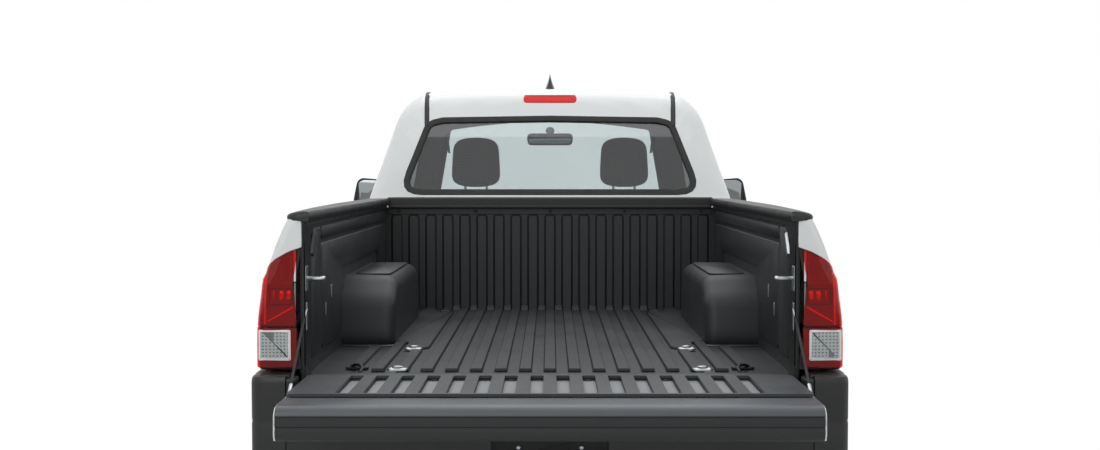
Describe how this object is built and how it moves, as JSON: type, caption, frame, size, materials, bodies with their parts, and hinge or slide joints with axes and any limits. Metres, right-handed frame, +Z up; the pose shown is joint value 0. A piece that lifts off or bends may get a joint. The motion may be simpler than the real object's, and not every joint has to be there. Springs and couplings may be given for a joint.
{
  "type": "pickup truck",
  "caption": "Extended-cab pickup truck with a long open load bed and its tailgate down; wheels, steering, doors, hood and tailgate move.",
  "frame": {"origin": "centre of the bounding box, on the ground plane under the tyres", "axes": "+Z up, -Y the way the truck drives forward, +X the driver's left"},
  "size_m": [2.164, 5.755, 1.844],
  "materials": {
    "body_paint": "gloss white paint over steel",
    "frame_black": "satin black chassis paint",
    "bare_steel": "machined and dull steel",
    "cast_iron": "rough cast",
    "black_plastic": "grained black moulding",
    "liner": "satin dark grey bed liner",
    "gloss_black": "polished black moulding",
    "red_lens": "clear red acrylic",
    "clear_lens": "clear polycarbonate over bright reflectors",
    "clear_glass": "clear laminated glass",
    "tinted_glass": "dark tinted glass",
    "trim_grey": "grained dark grey trim",
    "seat_cloth": "woven dark grey cloth",
    "wheel_alloy": "painted silver alloy",
    "tyre_rubber": "black tyre rubber",
    "exhaust_steel": "dull aluminised steel"
  },
  "bodies": {
    "truck": {"ladder_frame": "frame_black", "rear_axle": "frame_black", "leaf_springs": "frame_black", "propshaft": "frame_black", "front_suspension": "frame_black", "engine_block": "cast_iron", "fuel_tank": "frame_black", "exhaust": "exhaust_steel", "spare_wheel": "tyre_rubber", "cab_shell": "body_paint", "roof_panel": "body_paint", "cab_floor": "trim_grey", "front_fenders": "body_paint", "bed_tub": "liner", "bed_sides": "body_paint", "rail_caps": "liner", "tail_lamps": "red_lens", "headlamps": "clear_lens", "grille": "black_plastic", "front_bumper": "black_plastic", "rear_bumper": "black_plastic", "windscreen": "clear_glass", "rear_window": "tinted_glass", "dashboard": "trim_grey", "seats": "seat_cloth", "brake_lamp": "red_lens", "roof_antenna": "gloss_black", "tailgate_straps": "black_plastic"},
    "left_front_wheel": {"tyre_front_left": "tyre_rubber", "rim_front_left": "wheel_alloy"},
    "right_front_wheel": {"tyre_front_right": "tyre_rubber", "rim_front_right": "wheel_alloy"},
    "left_rear_wheel": {"tyre_rear_left": "tyre_rubber", "rim_rear_left": "wheel_alloy"},
    "right_rear_wheel": {"tyre_rear_right": "tyre_rubber", "rim_rear_right": "wheel_alloy"},
    "left_knuckle": {"knuckle_left": "cast_iron"},
    "right_knuckle": {"knuckle_right": "cast_iron"},
    "rack": {"steering_rack": "bare_steel"},
    "hand_wheel": {"steering_wheel": "trim_grey"},
    "hood": {"hood": "body_paint"},
    "tailgate": {"tailgate": "liner"},
    "left_front_door": {"door_front_left": "body_paint", "glass_front_left": "clear_glass", "mirror_left": "black_plastic"},
    "right_front_door": {"door_front_right": "body_paint", "glass_front_right": "clear_glass", "mirror_right": "black_plastic"},
    "left_rear_door": {"door_rear_left": "body_paint", "glass_rear_left": "tinted_glass"},
    "right_rear_door": {"door_rear_right": "body_paint", "glass_rear_right": "tinted_glass"}
  },
  "joints": [
    {"name": "spin_rear_left", "type": "hinge", "parent": "truck", "child": "left_rear_wheel", "pos_m": [0.8, 1.2625, 0.387], "axis": [1, 0, 0], "continuous": true},
    {"name": "spin_rear_right", "type": "hinge", "parent": "truck", "child": "right_rear_wheel", "pos_m": [-0.8, 1.2625, 0.387], "axis": [1, 0, 0], "continuous": true},
    {"name": "steer_left", "type": "hinge", "parent": "truck", "child": "left_knuckle", "pos_m": [0.65, -1.9725, 0.387], "axis": [0, 0, 1], "range_deg": [-32, 32]},
    {"name": "steer_right", "type": "hinge", "parent": "truck", "child": "right_knuckle", "pos_m": [-0.65, -1.9725, 0.387], "axis": [0, 0, 1], "range_deg": [-32, 32]},
    {"name": "spin_front_left", "type": "hinge", "parent": "left_knuckle", "child": "left_front_wheel", "pos_m": [0.8, -1.9725, 0.387], "axis": [1, 0, 0], "continuous": true},
    {"name": "spin_front_right", "type": "hinge", "parent": "right_knuckle", "child": "right_front_wheel", "pos_m": [-0.8, -1.9725, 0.387], "axis": [1, 0, 0], "continuous": true},
    {"name": "rack_slide", "type": "slide", "parent": "truck", "child": "rack", "axis": [1, 0, 0], "range_m": [-0.075, 0.075]},
    {"name": "column_turn", "type": "hinge", "parent": "truck", "child": "hand_wheel", "pos_m": [0.365, -0.9425, 1.07], "axis": [0, 0.9063, 0.4226], "range_deg": [-484, 484]},
    {"name": "open_hood", "type": "hinge", "parent": "truck", "child": "hood", "pos_m": [0, -1.3725, 1.15], "axis": [-1, 0, 0], "range_deg": [0, 50]},
    {"name": "close_tailgate", "type": "hinge", "parent": "truck", "child": "tailgate", "pos_m": [0, 2.3925, 0.788], "axis": [1, 0, 0], "range_deg": [0, 90], "deforming": ["tailgate_straps"]},
    {"name": "open_left_front_door", "type": "hinge", "parent": "truck", "child": "left_front_door", "pos_m": [0.895, -1.3475, 0.9], "axis": [0, 0, -1], "range_deg": [0, 65]},
    {"name": "open_right_front_door", "type": "hinge", "parent": "truck", "child": "right_front_door", "pos_m": [-0.895, -1.3475, 0.9], "axis": [0, 0, 1], "range_deg": [0, 65]},
    {"name": "open_left_rear_door", "type": "hinge", "parent": "truck", "child": "left_rear_door", "pos_m": [0.895, 0.2275, 0.9], "axis": [0, 0, 1], "range_deg": [0, 78]},
    {"name": "open_right_rear_door", "type": "hinge", "parent": "truck", "child": "right_rear_door", "pos_m": [-0.895, 0.2275, 0.9], "axis": [0, 0, -1], "range_deg": [0, 78]}
  ],
  "couplings": [
    {"joint": "steer_right", "follows": "steer_left", "ratio": 1},
    {"joint": "rack_slide", "follows": "steer_left", "m_per_rad": -0.13},
    {"joint": "column_turn", "follows": "steer_left", "ratio": 15}
  ]
}
